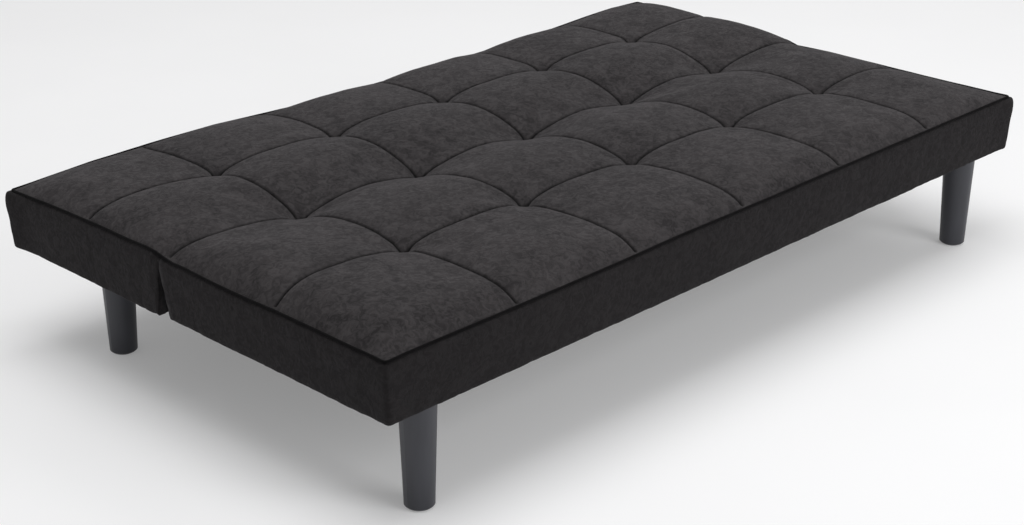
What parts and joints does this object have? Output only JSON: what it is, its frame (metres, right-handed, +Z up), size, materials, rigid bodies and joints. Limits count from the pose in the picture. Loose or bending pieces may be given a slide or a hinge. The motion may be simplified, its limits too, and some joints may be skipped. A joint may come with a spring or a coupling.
{
  "type": "click clack sofa bed",
  "caption": "Tufted click clack sofa bed lying flat: seat and folding back on ratchet hinges, piped borders, round tapered legs.",
  "frame": {"origin": "on the floor under the middle of the flat bed", "axes": "+X along the length, +Y from the front edge to the far edge of the back, +Z up"},
  "size_m": [1.8, 1.064, 0.3578],
  "materials": {
    "top_suede": "charcoal microsuede with a mottled nap",
    "border_suede": "plain charcoal microsuede",
    "piping_cord": "black piping",
    "bottom_cloth": "black non-woven cloth",
    "elastic_webbing": "woven elastic webbing",
    "frame_timber": "planed pine",
    "black_steel": "black powder coat",
    "ratchet_steel": "zinc-plated pressed steel",
    "zinc_steel": "zinc-plated",
    "leg_plastic": "satin dark grey moulding",
    "glide_plastic": "black moulding",
    "buffer_rubber": "black rubber"
  },
  "bodies": {
    "seat": {"foot_glides": "glide_plastic", "front_leg_plates": "black_steel", "front_legs": "leg_plastic", "hinge_pivots": "zinc_steel", "leg_studs": "zinc_steel", "pawl_pins": "zinc_steel", "pawl_spring_left": "ratchet_steel", "pawl_spring_right": "ratchet_steel", "rear_arm_screws": "zinc_steel", "rear_leg_arm_left": "black_steel", "rear_leg_arm_right": "black_steel", "rear_legs": "leg_plastic", "rest_buffers": "buffer_rubber", "seat_bottom_cover": "bottom_cloth", "seat_corner_blocks": "frame_timber", "seat_cross_rail_left": "frame_timber", "seat_cross_rail_right": "frame_timber", "seat_cushion": "top_suede", "seat_end_border_left": "border_suede", "seat_end_border_right": "border_suede", "seat_end_rail_left": "frame_timber", "seat_end_rail_right": "frame_timber", "seat_front_border": "border_suede", "seat_front_rail": "frame_timber", "seat_hinge_arm_left": "black_steel", "seat_hinge_arm_right": "black_steel", "seat_hinge_screws": "zinc_steel", "seat_middle_rail": "frame_timber", "seat_piping": "piping_cord", "seat_rear_border": "border_suede", "seat_rear_rail": "frame_timber", "seat_webbing": "elastic_webbing"},
    "back": {"back_bottom_cover": "bottom_cloth", "back_corner_blocks": "frame_timber", "back_cross_rail_left": "frame_timber", "back_cross_rail_right": "frame_timber", "back_cushion": "top_suede", "back_end_border_left": "border_suede", "back_end_border_right": "border_suede", "back_end_rail_left": "frame_timber", "back_end_rail_right": "frame_timber", "back_far_border": "border_suede", "back_far_rail": "frame_timber", "back_hinge_arm_left": "black_steel", "back_hinge_arm_right": "black_steel", "back_hinge_screws": "zinc_steel", "back_middle_rail": "frame_timber", "back_near_border": "border_suede", "back_near_rail": "frame_timber", "back_piping": "piping_cord", "back_webbing": "elastic_webbing"},
    "lockout_cam_left": {"lockout_cam_left": "ratchet_steel"},
    "lockout_cam_right": {"lockout_cam_right": "ratchet_steel"},
    "pawl_left": {"pawl_left": "ratchet_steel"},
    "pawl_right": {"pawl_right": "ratchet_steel"}
  },
  "joints": [
    {"name": "backrest_fold", "type": "hinge", "parent": "seat", "child": "back", "pos_m": [0, 0.038, 0.3], "axis": [1, 0, 0], "range_deg": [0, 76]},
    {"name": "pawl_right_swing", "type": "hinge", "parent": "seat", "child": "pawl_right", "pos_m": [0.8475, -0.004, 0.264], "axis": [1, 0, 0], "range_deg": [0, 10]},
    {"name": "lockout_cam_right_turn", "type": "hinge", "parent": "seat", "child": "lockout_cam_right", "pos_m": [0.8475, 0.038, 0.3], "axis": [1, 0, 0], "range_deg": [0, 30]},
    {"name": "pawl_left_swing", "type": "hinge", "parent": "seat", "child": "pawl_left", "pos_m": [-0.8475, -0.004, 0.264], "axis": [1, 0, 0], "range_deg": [0, 10]},
    {"name": "lockout_cam_left_turn", "type": "hinge", "parent": "seat", "child": "lockout_cam_left", "pos_m": [-0.8475, 0.038, 0.3], "axis": [1, 0, 0], "range_deg": [0, 30]}
  ],
  "couplings": [
    {"joint": "lockout_cam_right_turn", "follows": "pawl_right_swing", "ratio": 3},
    {"joint": "lockout_cam_left_turn", "follows": "pawl_left_swing", "ratio": 3}
  ]
}
